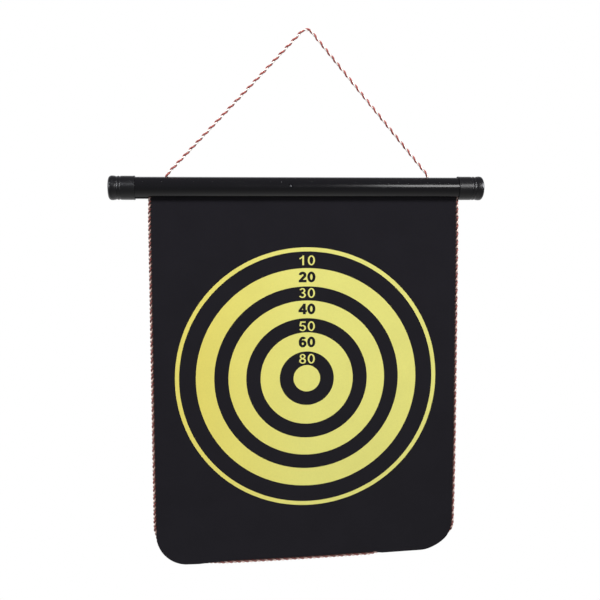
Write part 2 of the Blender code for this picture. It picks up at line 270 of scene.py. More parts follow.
def plastic_material(name, color, roughness, lines):
    """Glossy black plastic: streaks scaled by lines, moulding haze, scratches and some dust."""
    mat = Shader(name, color, roughness)
    coords = mat.coords()
    streak = mat.noise(mat.coords(scale=lines), detail=2.0, roughness=0.5)
    haze = mat.noise(coords, scale=22.0)
    scratch_coords = mat.coords(scale=(40, 900, 900), rotation=(0, 0.05, 0.12))
    scratch = mat.noise(scratch_coords, detail=2.0, roughness=0.6)
    specks = mat.noise(coords, scale=1500.0, detail=1.0)
    hazy = mat.span(haze, source=(0.3, 0.7), to=(roughness - 0.03, roughness + 0.04))
    scratched = mat.span(scratch, source=(0.64, 0.74), to=(0.0, 0.04))
    mat.out("Roughness", mat.add(hazy, scratched))
    dust = mat.times(mat.span(specks, source=(0.70, 0.76), to=(0.0, 1.0)), 0.10)
    mat.out("Base Color", mat.mix(dust, color, tuple(c * 3.5 + 0.02 for c in color)))
    swell = mat.bump(haze, strength=0.03, distance=0.0003)
    mat.out("Normal", mat.bump(streak, strength=0.05, distance=0.00002, normal=swell))
    return mat.material


def ply_material(name, color, dark, light, worn):
    """One ply of the twisted cord: yarns that turn against the ply, with shaded grooves and
    loose fibres. worn multiplies the colour where the cord is sewn on."""
    yarns, yarn_pitch = 5, 0.0021
    # dark maroon of the sewing thread, which also serves as painted shade on the edge cord
    thread_and_shade_color = (0.042, 0.0080, 0.0075)
    mat = Shader(name, color, roughness=0.78, specular=0.25)
    mat.set("Sheen Weight", 0.25)
    mat.set("Sheen Roughness", 0.4)
    u, v, _ = mat.split(mat.coords("ply"))
    phase = mat.math("SUBTRACT", mat.times(v, TURN * yarns), mat.times(u, TURN / yarn_pitch))
    yarn = mat.to_unit(mat.math("SINE", phase))
    fuzz = mat.noise(mat.coords("ply", scale=(900, 14, 1)), roughness=0.7)
    along = mat.noise(mat.coords("ply", scale=(55, 0.4, 1)), detail=2.0, roughness=0.5)
    base = mat.ramp(yarn, (0.0, dark), (0.45, color), (1.0, light))
    base = mat.mix(mat.span(fuzz, source=(0.35, 0.8), to=(0.0, 0.35)), base, light)
    patches = mat.ramp(along, (0.3, (0.86, 0.84, 0.84)), (0.7, (1.04, 1.04, 1.04)))
    base = mat.multiply(base, patches)
    thread_and_shade, sewn = mat.attribute("thread_and_shade"), mat.attribute("sewn")
    base = mat.mix(mat.times(sewn, 1.0), base, mat.multiply(base, worn))
    # darkens the edge cord towards the cloth with the thread's colour and painted shade, and in the
    # creases between the plies with painted shade
    base = mat.mix(mat.times(thread_and_shade, 0.97), base, thread_and_shade_color)
    mat.set("Subsurface Weight", 0.35)
    mat.set("Subsurface Radius", (0.0012, 0.0010, 0.0009))
    mat.set("Subsurface Scale", 1.0)
    mat.out("Base Color", base)
    height = mat.add(yarn, mat.times(fuzz, 0.6))
    mat.out("Normal", mat.bump(height, strength=0.7, distance=0.00012))
    return mat.material


def rubber_material():
    """Dark rubber with fine upright lines, grain and broad patches."""
    line_pitch = 0.0021
    mat = Shader("magnet_rubber", (0.026, 0.024, 0.023), roughness=0.62, specular=0.35)
    uv = mat.coords("sheet")
    x, _, _ = mat.split(uv)
    lines = mat.math("SINE", mat.times(x, TURN / line_pitch))
    grain = mat.noise(uv, scale=900.0, detail=2.0, roughness=0.7)
    patch = mat.noise(uv, scale=14.0, detail=4.0, roughness=0.6)
    tint = mat.ramp(patch, (0.3, (0.021, 0.0195, 0.0185)), (0.7, (0.032, 0.0300, 0.0285)))
    grainy = mat.span(grain, source=(0.55, 0.8), to=(0.0, 0.4))
    mat.out("Base Color", mat.mix(grainy, tint, (0.055, 0.05, 0.046)))
    mat.out("Roughness", mat.span(patch, source=(0.3, 0.7), to=(0.55, 0.72)))
    height = mat.add(mat.times(lines, 0.35), grain)
    swell = mat.bump(patch, strength=0.2, distance=0.0008)
    mat.out("Normal", mat.bump(height, strength=0.35, distance=0.00006, normal=swell))
    return mat.material


def steel_material():
    mat = Shader("screw_steel", (0.10, 0.10, 0.105), roughness=0.32)
    mat.set("Metallic", 1.0)
    turned = mat.noise(mat.coords(scale=(3000, 300, 3000)), detail=2.0)
    worn = mat.noise(mat.coords(), scale=900.0, roughness=0.6)
    color = mat.ramp(worn, (0.35, (0.045, 0.045, 0.05)), (0.7, (0.20, 0.20, 0.21)))
    mat.out("Base Color", color)
    mat.out("Roughness", mat.span(turned, source=(0.3, 0.7), to=(0.24, 0.42)))
    mat.out("Normal", mat.bump(turned, strength=0.2, distance=0.00002))
    return mat.material


def rod_material():
    mat = Shader("rod_plastic", (0.42, 0.41, 0.38), roughness=0.5, specular=0.45)
    fibre = mat.noise(mat.coords(scale=(30, 2600, 2600)), roughness=0.6)
    color = mat.ramp(fibre, (0.3, (0.34, 0.33, 0.30)), (0.7, (0.50, 0.49, 0.45)))
    mat.out("Base Color", color)
    mat.out("Normal", mat.bump(fibre, strength=0.3, distance=0.00004))
    return mat.material


BLACK_CLOTH = cloth_material(
    "target_cloth_black", (0.0136, 0.0127, 0.0168), mottled=0.08, weave=0.10
)
YELLOW_CLOTH = cloth_material(
    "target_cloth_yellow", (0.785, 0.755, 0.212),
    mottled=0.03, weave=0.035, warm=(0.785, 0.695, 0.153),
)
TUBE_PLASTIC = plastic_material(
    "tube_plastic", (0.0042, 0.0040, 0.0052), roughness=0.17, lines=(3, 700, 700)
)
CAP_PLASTIC = plastic_material(
    "cap_plastic", (0.0055, 0.0053, 0.0066), roughness=0.33, lines=(25, 25, 25)
)
RUBBER = rubber_material()
STEEL = steel_material()
ROD_PLASTIC = rod_material()
RED_PLY = ply_material(
    "cord_red", (0.30, 0.072, 0.064),
    dark=(0.20, 0.040, 0.035), light=(0.36, 0.110, 0.098), worn=(1.35, 1.9, 1.9),
)
CREAM_PLY = ply_material(
    "cord_cream", (0.93, 0.89, 0.85),
    dark=(0.80, 0.72, 0.66), light=(0.97, 0.95, 0.92), worn=(0.96, 0.75, 0.70),
)
PLIES = [RED_PLY, CREAM_PLY]


# ---------------------------------------------------------------- mesh helpers
def add_mesh(name, verts, faces, materials, face_mats=None, uv=None, uv_name="sheet"):
    """A mesh object. uv holds one (u, v) in metres for each point, or for each corner."""
    mesh = bpy.data.meshes.new(name)
    mesh.from_pydata([tuple(float(c) * MM for c in v) for v in verts], [], faces)
    for material in materials:
        mesh.materials.append(material)
    if face_mats is not None:
        mesh.polygons.foreach_set("material_index", np.asarray(face_mats, np.int32))
    if uv is not None:
        layer = mesh.uv_layers.new(name=uv_name)
        uv = np.asarray(uv, float)
        if len(uv) == len(mesh.vertices):
            corner_verts = np.zeros(len(mesh.loops), np.int32)
            mesh.loops.foreach_get("vertex_index", corner_verts)
            uv = uv[corner_verts]
        layer.data.foreach_set("uv", uv.astype(np.float32).ravel())
    mesh.update()
    obj = bpy.data.objects.new(name, mesh)
    bpy.context.scene.collection.objects.link(obj)
    return obj


def smooth(obj, sharp_angle=None):
    obj.data.shade_smooth()
    if sharp_angle is not None:
        obj.data.set_sharp_from_angle(angle=math.radians(sharp_angle))


def face_outward(obj):
    bm = bmesh.new()
    bm.from_mesh(obj.data)
    bmesh.ops.recalc_face_normals(bm, faces=bm.faces)
    bm.to_mesh(obj.data)
    bm.free()


def sweep(rings):
    """Joins rings of equally many points into a tube with both ends closed."""
    rows, sides = len(rings), len(rings[0])
    verts = [p for ring in rings for p in ring]
    faces = []
    for i in range(rows - 1):
        for j in range(sides):
            a, b = i * sides + j, i * sides + (j + 1) % sides
            faces.append((a, b, b + sides, a + sides))
    faces.append(tuple(range(sides))[::-1])
    faces.append(tuple((rows - 1) * sides + j for j in range(sides)))
    return verts, faces


def swept(name, rings, material, uv=None):
    verts, faces = sweep(rings)
    obj = add_mesh(name, verts, faces, [material], uv=uv)
    face_outward(obj)
    return obj


def lathe(name, profile, segments, place, material, sharp_angle=40):
    """A turned solid. profile is a section of (radius, height) points: closed, or open where
    both its ends lie on the axis. Points on the axis have radius 0."""
    verts, faces, index = [], [], []
    for radius, height in profile:
        if radius < 1e-6:
            index.append([len(verts)])
            verts.append((0.0, 0.0, height))
        else:
            index.append(list(range(len(verts), len(verts) + segments)))
            for j in range(segments):
                angle = TURN * j / segments
                verts.append((radius * math.cos(angle), radius * math.sin(angle), height))
    count = len(profile)
    closed = not (profile[0][0] < 1e-6 and profile[-1][0] < 1e-6)
    for i in range(count if closed else count - 1):
        a, b = index[i], index[(i + 1) % count]
        if len(a) == 1 and len(b) == 1:
            continue
        for j in range(segments):
            after = (j + 1) % segments
            if len(a) == 1:
                faces.append((a[0], b[j], b[after]))
            elif len(b) == 1:
                faces.append((a[j], b[0], a[after]))
            else:
                faces.append((a[j], b[j], b[after], a[after]))
    obj = add_mesh(name, [tuple(place @ Vector(v)) for v in verts], faces, [material])
    face_outward(obj)
    smooth(obj, sharp_angle)
    return obj


def rounded(points, radius, steps, keep=()):
    """Rounds the corners of a profile, except its first and last point and those in keep."""
    out = [points[0]]
    for i in range(1, len(points) - 1):
        before, corner, after = (Vector(points[j]) for j in (i - 1, i, i + 1))
        a, b = before - corner, after - corner
        reach = min(radius, a.length * 0.45, b.length * 0.45)
        if i in keep or reach < 1e-4 or a.angle(b) > math.radians(176):
            out.append(tuple(corner))
            continue
        a, b = corner + a.normalized() * reach, corner + b.normalized() * reach
        for k in range(steps + 1):
            t = k / steps
            out.append(tuple(a * (1 - t) ** 2 + corner * 2 * t * (1 - t) + b * t * t))
    out.append(points[-1])
    return out


def boolean_cut(obj, cutter):
    """Cuts the cutter's shape out of obj for good and removes the cutter."""
    cut = obj.modifiers.new("cut", "BOOLEAN")
    cut.operation, cut.solver, cut.object = "DIFFERENCE", "EXACT", cutter
    depsgraph = bpy.context.evaluated_depsgraph_get()
    mesh = bpy.data.meshes.new_from_object(obj.evaluated_get(depsgraph))
    obj.modifiers.clear()
    obj.data = mesh
    bpy.data.objects.remove(cutter)


def smoothstep(x, low, high):
    t = np.clip((np.asarray(x, float) - low) / (high - low), 0, 1)
    return t * t * (3 - 2 * t)


def fit(obj, carrier, piece):
    """Lets obj ride on a carrier in place of a frame piece, and hides that piece."""
    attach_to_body(obj, carrier)
    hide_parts(piece)


# ---------------------------------------------------------------- how the sheet hangs
def drape(points):
    """Moves points of the flat sheet to how it really hangs."""
    points = np.array(points, float).reshape(-1, 3)
    x, z = points[:, 0], points[:, 2]
    hung = points.copy()
    # the lower right corner curls back, by 8 mm at the height where curl is 1
    curl = np.clip((-430.0 - z) / 173.0, 0, 1.05)
    hung[:, 1] += 8.0 * smoothstep(x, -120.0, 190.0) * curl**2
    # faint ripples in depth, from below the tube down
    ripple = 0.10 * np.sin(x / 47.0 + 0.6) * np.sin((z + 190) / 61.0)
    hung[:, 1] += ripple * smoothstep(-z, 200.0, 260.0)
    # the right edge runs out to the right on the way down
    flare = np.clip((-220.0 - z) / 300.0, 0, 1.15)
    flare = 0.35 * smoothstep(-z, 195, 225) + 1.9 * flare
    hung[:, 0] += flare * smoothstep(x, 150.0, 172.0)
    # the bottom edge rises to the right
    t = np.clip((x + 115.0) / 256.0, 0, 1.15)
    hung[:, 2] += (-1.8 + 3.3 * t * t) * smoothstep(-z, 548.0, 600.0)
    return hung


# ---------------------------------------------------------------- the edge of the sheet
# Places on the edge are lengths along the edge cord, from its top left, down the left side,
# along the bottom and up the right side.
TOP_Z = AXIS_Z - 9.0
SIDE_LENGTH = TOP_Z - CORNER_Z
ARC_LENGTH = math.pi / 2 * CORNER_R
BOTTOM_LENGTH = 2 * (CORD_HALF - CORNER_R)
EDGE_LENGTH = 2 * SIDE_LENGTH + 2 * ARC_LENGTH + BOTTOM_LENGTH
LEFT_END, BOTTOM_START, BOTTOM_END, RIGHT_START = np.cumsum(
    [SIDE_LENGTH, ARC_LENGTH, BOTTOM_LENGTH, ARC_LENGTH]
)

# tables of (length along the edge, distance)
# how far the cloth's edge stands outside the edge line
CLOTH_REACH = [
    (LEFT_END - 6, -1.15), (LEFT_END + 8, -0.2), (LEFT_END + 30, 0.1),
    (BOTTOM_START, 1.0), (BOTTOM_START + 14, 1.0), (BOTTOM_START + 55, -2.2),
    (BOTTOM_END - 62, -2.2), (BOTTOM_END - 46, 0.0),
    (RIGHT_START - 20, 0.1), (RIGHT_START - 6, -1.15),
]
# how far the cord is drawn in behind the cloth, round the two lower corners
CORD_INWARD = [
    (LEFT_END - 6, 0.0), (LEFT_END + 4, 2.2),
    (BOTTOM_START, 1.0), (BOTTOM_START + 12, 0.8), (BOTTOM_START + 36, 0.0),
    (BOTTOM_END - 62, 0.0), (BOTTOM_END - 48, 2.0),
    (RIGHT_START - 18, 2.2), (RIGHT_START - 8, 0.0),
]
# how far the cord stands outside the edge line, before it is drawn in
CORD_OUTWARD = [
    (0.0, 0.0), (22.0, 0.70), (LEFT_END, 0.70), (BOTTOM_START, -0.15),
    (BOTTOM_END, -0.15), (RIGHT_START, 0.70), (EDGE_LENGTH - 22.0, 0.70), (EDGE_LENGTH, 0.0),
]


def look_up(table, along):
    return np.interp(along, *zip(*table))


def edge_line(along):
    """The flat sheet's edge line: points (x, z) and outward normals."""
    along = np.asarray(along, float)
    x, z, normal_x, normal_z = (np.zeros_like(along) for _ in range(4))
    part = along < LEFT_END
    x[part], z[part], normal_x[part] = -CORD_HALF, TOP_Z - along[part], -1
    part = (along >= LEFT_END) & (along < BOTTOM_START)
    angle = (along[part] - LEFT_END) / CORNER_R
    x[part] = -CORD_HALF + CORNER_R - CORNER_R * np.cos(angle)
    z[part] = CORNER_Z - CORNER_R * np.sin(angle)
    normal_x[part], normal_z[part] = -np.cos(angle), -np.sin(angle)
    part = (along >= BOTTOM_START) & (along < BOTTOM_END)
    x[part] = -CORD_HALF + CORNER_R + along[part] - BOTTOM_START
    z[part], normal_z[part] = BOTTOM_Z, -1
    part = (along >= BOTTOM_END) & (along < RIGHT_START)
    angle = (along[part] - BOTTOM_END) / CORNER_R
    x[part] = CORD_HALF - CORNER_R + CORNER_R * np.sin(angle)
    z[part] = CORNER_Z - CORNER_R * np.cos(angle)
    normal_x[part], normal_z[part] = np.sin(angle), -np.cos(angle)
    part = along >= RIGHT_START
    x[part], z[part], normal_x[part] = CORD_HALF, CORNER_Z + along[part] - RIGHT_START, 1
    return np.stack([x + CX, z], 1), np.stack([normal_x, normal_z], 1)


def cloth_edge(along):
    points, normals = edge_line(along)
    return points + normals * look_up(CLOTH_REACH, along)[:, None]


def magnet_edge(along):
    points, normals = edge_line(along)
    return points + normals * (-0.2 - look_up(CORD_INWARD, along) * 1.35)[:, None]


def cord_centre(along):
    """Centre line of the edge cord; it lies further back where the cloth reaches over it."""
    points, normals = edge_line(along)
    out = look_up(CORD_OUTWARD, along) - look_up(CORD_INWARD, along)
    points = points + normals * out[:, None]
    y = CORD_Y + 1.25 * smoothstep(look_up(CLOTH_REACH, along), -1.1, -0.5)
    return np.stack([points[:, 0], y, points[:, 1]], 1)


# ---------------------------------------------------------------- numbers of the target
NUMBER_HEIGHT = 11.0
STRETCH = 1.13  # widens each figure
ADVANCE = 0.905  # from one figure to the next, in number heights
# each number, how far its middle is above the target's centre, and whether it is black
NUMBER_ROWS = (
    ("80", 22.6, False), ("60", 42.0, True), ("50", 60.2, False), ("40", 80.0, True),
    ("30", 98.2, False), ("20", 116.4, True), ("10", 135.3, False),
)


def ellipse(centre, radii, start=0.0, end=360.0, steps=28):
    angles = [
        math.radians(start + (end - start) * i / steps)
        for i in range(steps + (0 if end - start == 360.0 else 1))
    ]
    return [
        (centre[0] + radii[0] * math.cos(a), centre[1] + radii[1] * math.sin(a)) for a in angles
    ]


def loop(centre, outer, inner):
    """A closed elliptical stroke, as an outline and its hole."""
    return ellipse(centre, outer), ellipse(centre, inner)


def arc(centre, outer, inner, start, end):
    """Part of an elliptical stroke between two angles, as an outline without a hole."""
    return ellipse(centre, outer, start, end, 18) + ellipse(centre, inner, end, start, 18), None


# each figure as (outline, hole or None) shapes in a box one unit high
FIGURES = {
    "0": [loop((0.34, 0.5), (0.335, 0.51), (0.145, 0.335))],
    "1": [
        ([(0.29, 0.0), (0.485, 0.0), (0.485, 1.0), (0.33, 1.0), (0.27, 0.89), (0.17, 0.80),
          (0.05, 0.74), (0.05, 0.57), (0.18, 0.62), (0.29, 0.71)], None),
    ],
    "2": [
        arc((0.335, 0.70), (0.31, 0.31), (0.12, 0.125), 172, -38),
        ([(0.43, 0.62), (0.58, 0.51), (0.36, 0.27), (0.27, 0.175), (0.03, 0.175),
          (0.03, 0.12), (0.16, 0.29)], None),
        ([(0.02, 0.0), (0.66, 0.0), (0.66, 0.18), (0.03, 0.18)], None),
    ],
    "3": [
        arc((0.32, 0.735), (0.275, 0.275), (0.09, 0.11), 170, -75),
        arc((0.32, 0.285), (0.32, 0.295), (0.13, 0.125), -168, 80),
        ([(0.24, 0.44), (0.42, 0.41), (0.47, 0.52), (0.40, 0.60), (0.24, 0.60)], None),
    ],
    "4": [
        ([(0.40, 0.0), (0.585, 0.0), (0.585, 1.0), (0.42, 1.0), (0.40, 0.96)], None),
        ([(0.0, 0.20), (0.69, 0.20), (0.69, 0.365), (0.0, 0.365)], None),
        ([(0.0, 0.36), (0.165, 0.33), (0.43, 0.72), (0.43, 1.0)], None),
    ],
    "5": [
        ([(0.14, 0.82), (0.63, 0.82), (0.63, 1.0), (0.13, 1.0)], None),
        ([(0.11, 1.0), (0.29, 1.0), (0.245, 0.60), (0.21, 0.50), (0.03, 0.49)], None),
        arc((0.335, 0.325), (0.325, 0.335), (0.135, 0.165), -165, 140),
    ],
    "6": [
        loop((0.355, 0.325), (0.31, 0.335), (0.125, 0.165)),
        arc((0.36, 0.51), (0.335, 0.50), (0.145, 0.33), 100, 215),
        arc((0.36, 0.735), (0.28, 0.275), (0.10, 0.12), 35, 105),
    ],
    "8": [
        loop((0.34, 0.74), (0.275, 0.27), (0.095, 0.11)),
        loop((0.34, 0.285), (0.325, 0.295), (0.13, 0.125)),
    ],
}


def grown(outline, distance):
    """The outline with every side moved outwards (inwards where distance is negative)."""
    pts = [
        Vector(p) for i, p in enumerate(outline) if (Vector(p) - Vector(outline[i - 1])).length > 1e-6
    ]
    area = sum(a.x * b.y - b.x * a.y for a, b in zip(pts, pts[1:] + pts[:1]))
    distance = distance if area > 0 else -distance
    out = []
    for i, p in enumerate(pts):
        a, b = (p - pts[i - 1]).normalized(), (pts[(i + 1) % len(pts)] - p).normalized()
        normal_a, normal_b = Vector((a.y, -a.x)), Vector((b.y, -b.x))
        normal = normal_a + normal_b
        normal = normal_a if normal.length < 1e-3 else normal.normalized()
        out.append(tuple(p + normal * distance / max(0.5, normal.dot(normal_a))))
    return out


def number_shapes():
    """Every figure on the target, in (x, z) on the sheet. The black figures are a little heavier
    than the yellow ones, which are the bare cloth left inside the black."""
    middle = 0.335 * STRETCH
    width = (ADVANCE + 0.34 * STRETCH + 0.335 * STRETCH) * NUMBER_HEIGHT
    left = TARGET_X - width / 2 + 0.02
    shapes = []
    for text, up, black in NUMBER_ROWS:
        weight = 0.44 if black else -0.30
        height = NUMBER_HEIGHT + (1.1 if black else 0.0) - 2 * weight
        centre_z = TARGET_Z + up
        for i, digit in enumerate(text):
            centre_x = left + (i * ADVANCE + middle) * NUMBER_HEIGHT

            def placed(points, growth):
                points = [
                    (centre_x + (x * STRETCH - middle) * height, centre_z + (y - 0.5) * height)
                    for x, y in points
                ]
                return grown(points, growth)

            for outline, hole in FIGURES[digit]:
                shapes.append((placed(outline, weight), placed(hole, -weight) if hole else None))
    return shapes


NUMBERS = number_shapes()


def inside(outline, points):
    """Even-odd test of points against one outline."""
    x, y = points[:, 0], points[:, 1]
    hit = np.zeros(len(points), bool)
    for (x0, y0), (x1, y1) in zip(outline, outline[1:] + outline[:1]):
        if y0 == y1:
            continue
        hit ^= ((y0 > y) != (y1 > y)) & (x < (x1 - x0) * (y - y0) / (y1 - y0) + x0)
    return hit


def is_yellow(points):
    """Colours alternate from ring to ring, and swap inside the numbers."""
    x, z = points[:, 0] - TARGET_X, points[:, 1]
    radius = np.hypot(x, z - TARGET_Z)
    rings_passed = sum((radius > ring).astype(int) for ring in RINGS)
    near = (np.abs(x) < 15) & (z > TARGET_Z + 10) & (z < TARGET_Z + 148)
    in_number = np.zeros(len(points), bool)
    for outline, hole in NUMBERS:
        here = inside(outline, points[near])
        if hole:
            here &= ~inside(hole, points[near])
        in_number[near] |= here
    return (rings_passed % 2 == 0) ^ in_number


# ---------------------------------------------------------------- sheet pieces
SEAM_STEP = 5.5
SEAM_MARGIN = 0.8
ROW_STEP = 2.4


def seam(x0, x1, z):
    """Points between two x along one seam, on a grid that both neighbours share."""
    first = int(math.ceil((min(x0, x1) + SEAM_MARGIN) / SEAM_STEP))
    last = int(math.floor((max(x0, x1) - SEAM_MARGIN) / SEAM_STEP))
    grid = [SEAM_STEP * i for i in range(first, last + 1)]
    return [(x, z) for x in (grid if x1 > x0 else grid[::-1])]


def cut_at(line, z):
    """Where a line that runs down passes a height: the index after it and the point."""
    k = int(np.argmax(line[:, 1] <= z))
    if k == 0:
        return 0, line[0] * [1, 0] + [0, z]
    t = (line[k - 1, 1] - z) / (line[k - 1, 1] - line[k, 1])
    return k, line[k - 1] * (1 - t) + line[k] * t


def edge_part(line, top, bottom):
    """Every fifth point of the line between two heights, or to its end if bottom is None."""
    start, first = cut_at(line, top)
    if bottom is None:
        end, last = len(line), []
    else:
        end, point = cut_at(line, bottom)
        end, last = end - 1, [point]
    points = [first] + [line[i] for i in range(start + 1, end) if i % 5 == 0] + last
    return [tuple(p) for p in points]


def outline_for(top, bottom, edge):
    """The flat outline of one piece of the sheet: down its left side, along the bottom, up the
    right side and back along the top."""
    along = np.linspace(0.0, BOTTOM_START + BOTTOM_LENGTH / 2, 3201)
    left = edge_part(edge(along), top, bottom)
    right = edge_part(edge(EDGE_LENGTH - along), top, bottom)
    low = seam(left[-1][0], right[-1][0], bottom) if bottom is not None else []
    return left + low + right[::-1] + seam(right[0][0], left[0][0], top)


def row_lines(outline, rows, step, low, high):
    """Level lines across the outline, with points about one step apart."""
    lines = []
    for z in rows:
        if not low + 0.3 < z < high - 0.3:
            continue
        xs = []
        for (x0, z0), (x1, z1) in zip(outline, outline[1:] + outline[:1]):
            if (z0 > z) != (z1 > z):
                xs.append(x0 + (x1 - x0) * (z - z0) / (z1 - z0))
        if len(xs) >= 2:
            a, b = min(xs), max(xs)
            count = max(2, int(round((b - a) / step)) + 1)
            lines.append(([(float(x), float(z)) for x in np.linspace(a, b, count)], False))
    return lines


def ring_lines(low, high):
    """The parts of the target's rings that pass near these heights."""
    lines = []
    for radius in RINGS:
        count = max(48, int(TURN * radius / 1.3))
        angles = [TURN * i / count for i in range(count)]
        points = [
            (TARGET_X + radius * math.cos(a), TARGET_Z + radius * math.sin(a)) for a in angles
        ]
        run = []
        for i in range(count + 1):
            point = points[i % count]
            near = low - 2 < point[1] < high + 2
            if near:
                run.append(point)
            if not near or i == count:
                if len(run) > 1:
                    lines.append((run, False))
                run = []
    return lines


def number_lines(low, high):
    lines = []
    for line in (line for shape in NUMBERS for line in shape if line):
        zs = [p[1] for p in line]
        if max(zs) > low - 1 and min(zs) < high + 1:
            lines.append((line, True))
    return lines


def triangulate(outline, lines):
    """Flat points and triangles inside the outline. Each line is (points, closed) and becomes
    edges of the triangles."""
    coords, edges = [], []
    for points, closed in [(outline, True)] + lines:
        first = len(coords)
        coords.extend(points)
        edges.extend((i, i + 1) for i in range(first, len(coords) - 1))
        if closed:
            edges.append((len(coords) - 1, first))
    result = delaunay_2d_cdt([Vector(c) for c in coords], edges, [], 0, 1e-4, False)
    verts = np.array([tuple(v) for v in result[0]])
    tris = np.array(result[2], int)
    a, b, c = (verts[tris[:, i]] for i in range(3))
    area = (b[:, 0] - a[:, 0]) * (c[:, 1] - a[:, 1]) - (b[:, 1] - a[:, 1]) * (c[:, 0] - a[:, 0])
    tris[area < 0] = tris[area < 0][:, ::-1]
    tris = tris[inside(outline, verts[tris].mean(1)) & (np.abs(area) > 1e-7)]
    used = np.unique(tris)
    new_index = -np.ones(len(verts), int)
    new_index[used] = np.arange(len(used))
    return verts[used], new_index[tris]


def slab(name, outline, front_y, back_y, materials, step, rows, printed=False):
    """A thin closed slab, fine enough to bend, with the target on its front if printed."""
    heights = [z for _, z in outline]
    low, high = min(heights), max(heights)
    lines = row_lines(outline, rows, step, low, high)
    if printed:
        lines += ring_lines(low, high) + number_lines(low, high)
    flat, tris = triangulate(outline, lines)
    count = len(flat)
    front, back = (np.c_[flat[:, 0], np.full(count, y), flat[:, 1]] for y in (front_y, back_y))
    # an edge that no neighbour runs the other way lies on the rim
    edges = dict.fromkeys((int(t[i]), int(t[(i + 1) % 3])) for t in tris for i in range(3))
    faces = [tuple(int(i) for i in t) for t in tris]
    faces += [tuple(int(i) + count for i in t[::-1]) for t in tris]
    faces += [(b, a, a + count, b + count) for a, b in edges if (b, a) not in edges]
    face_mats = np.zeros(len(faces), int)
    if printed:
        face_mats[: len(tris)] = is_yellow(flat[tris].mean(1)).astype(int)
    uv = np.vstack([flat, flat]) * MM
    obj = add_mesh(name, drape(np.vstack([front, back])), faces, materials, face_mats, uv)
    smooth(obj, 40)
    return obj


def body(k):
    return "roller" if k == 0 else f"band_{k:02d}"


def attach(obj, k):
    """Piece 13 rides on the last band; any other piece is left on no body, its place baked into its
    mesh.
    """
    if k > 12:
        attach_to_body(obj, body(12))
        return
    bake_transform(obj)


for k in range(1, 14):
    top, bottom = MIDS[k - 1], (MIDS[k] if k < 13 else None)
    low = BOTTOM_Z - 2 if bottom is None else bottom
    row_count = max(2, int(round((top - low) / ROW_STEP)))
    rows = [top + (low - top) * i / row_count for i in range(1, row_count)]
    cloth = slab(
        f"target_cloth_piece_{k:02d}", outline_for(top, bottom, cloth_edge),
        FRONT_Y, CLOTH_BACK_Y, [BLACK_CLOTH, YELLOW_CLOTH], step=5.5, rows=rows, printed=True,
    )
    magnet = slab(
        f"magnetic_sheet_piece_{k:02d}", outline_for(top, bottom, magnet_edge),
        MAGNET_FRONT_Y, MAGNET_BACK_Y, [RUBBER], step=9.0, rows=rows,
    )
    for obj, slot, piece in (
        (cloth, "target_cloth", "target_cloth"), (magnet, "magnet_rubber", "magnetic_sheet"),
    ):
        attach(obj, k)
        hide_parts(f"{piece}_{min(k, 12):02d}")


# ---------------------------------------------------------------- top of the sheet
def bar(name, section, half_width, material, step=6.0):
    """A straight bar along X, centred on the sheet, over a section of (y, z) points."""
    x0, x1 = CX - half_width, CX + half_width
    count = max(2, int((x1 - x0) / step))
    xs = [x0 + (x1 - x0) * i / count for i in range(count + 1)]
    rings = [[(x, y, z) for y, z in section] for x in xs]
    uv = [(x * MM, (z + 0.3 * y) * MM) for ring in rings for x, y, z in ring]
    obj = swept(name, rings, material, uv)
    smooth(obj, 40)
    return obj


def hem_section():
    """The cloth goes up through the slot and round the rod."""
    outer, inner = ROD_Y - FRONT_Y, ROD_R + 0.3
    wrap = [math.radians(a) for a in np.linspace(180, -32, 30)]

    def round_rod(radius, angles):
        return [(ROD_Y + radius * math.cos(a), ROD_Z + radius * math.sin(a)) for a in angles]

    return [
        (ROD_Y - outer, MIDS[0]), (ROD_Y - outer, ROD_Z - 20),
        *round_rod(outer, wrap), *round_rod(inner, wrap[::-1]),
        (CLOTH_BACK_Y, ROD_Z - 20), (CLOTH_BACK_Y, MIDS[0]),
    ]


def magnet_top_section():
    """The top strip of the magnet, with small chamfers along its top."""
    top = node_box("magnetic_sheet_00")[1][2]
    return [
        (MAGNET_FRONT_Y, MIDS[0]), (MAGNET_FRONT_Y, top - 0.3), (CLOTH_BACK_Y + 0.25, top),
        (MAGNET_BACK_Y - 0.25, top), (MAGNET_BACK_Y, top - 0.3), (MAGNET_BACK_Y, MIDS[0]),
    ]


hem = bar("target_cloth_hem", hem_section(), CORD_HALF - 1.15, BLACK_CLOTH)
fit(hem, "roller", "target_cloth_00")
magnet_top = bar("magnetic_sheet_top", magnet_top_section(), CORD_HALF - 0.3, RUBBER)
fit(magnet_top, "roller", "magnetic_sheet_00")

# ---------------------------------------------------------------- twisted cord
# step between rings, pitch of the twist, radius of the red and the cream ply, and how far the
# plies wind off the centre line: sideways (spread) and in depth
Cord = namedtuple("Cord", "step pitch radii spread depth sewn")
EDGE_CORD = Cord(step=0.62, pitch=9.3, radii=(0.95, 0.95), spread=1.0, depth=0.78, sewn=True)
HANGING_CORD = Cord(
    step=0.55, pitch=10.3, radii=(1.06, 0.72), spread=0.72, depth=0.72, sewn=False
)
PHASES = (0.0, math.pi)
PLY_SIDES = 12


def cross_axes(line, along, gap):
    """Two unit vectors across a line at each length: to the side and in depth."""
    tangent = line(along + gap) - line(along - gap)
    tangent /= np.linalg.norm(tangent, axis=1)[:, None]
    side = np.cross(np.tile([0.0, 1.0, 0.0], (len(along), 1)), tangent)
    side /= np.linalg.norm(side, axis=1)[:, None]
    return side, np.cross(tangent, side)


def ply_line(centre_line, along, phase, cord):
    """Centre line of one ply, which winds round the cord's own line."""
    side, depth = cross_axes(centre_line, along, 0.05)
    angle = TURN * along / cord.pitch + phase
    winding = cord.spread * np.cos(angle)[:, None] * side
    return centre_line(along) + winding + cord.depth * np.sin(angle)[:, None] * depth


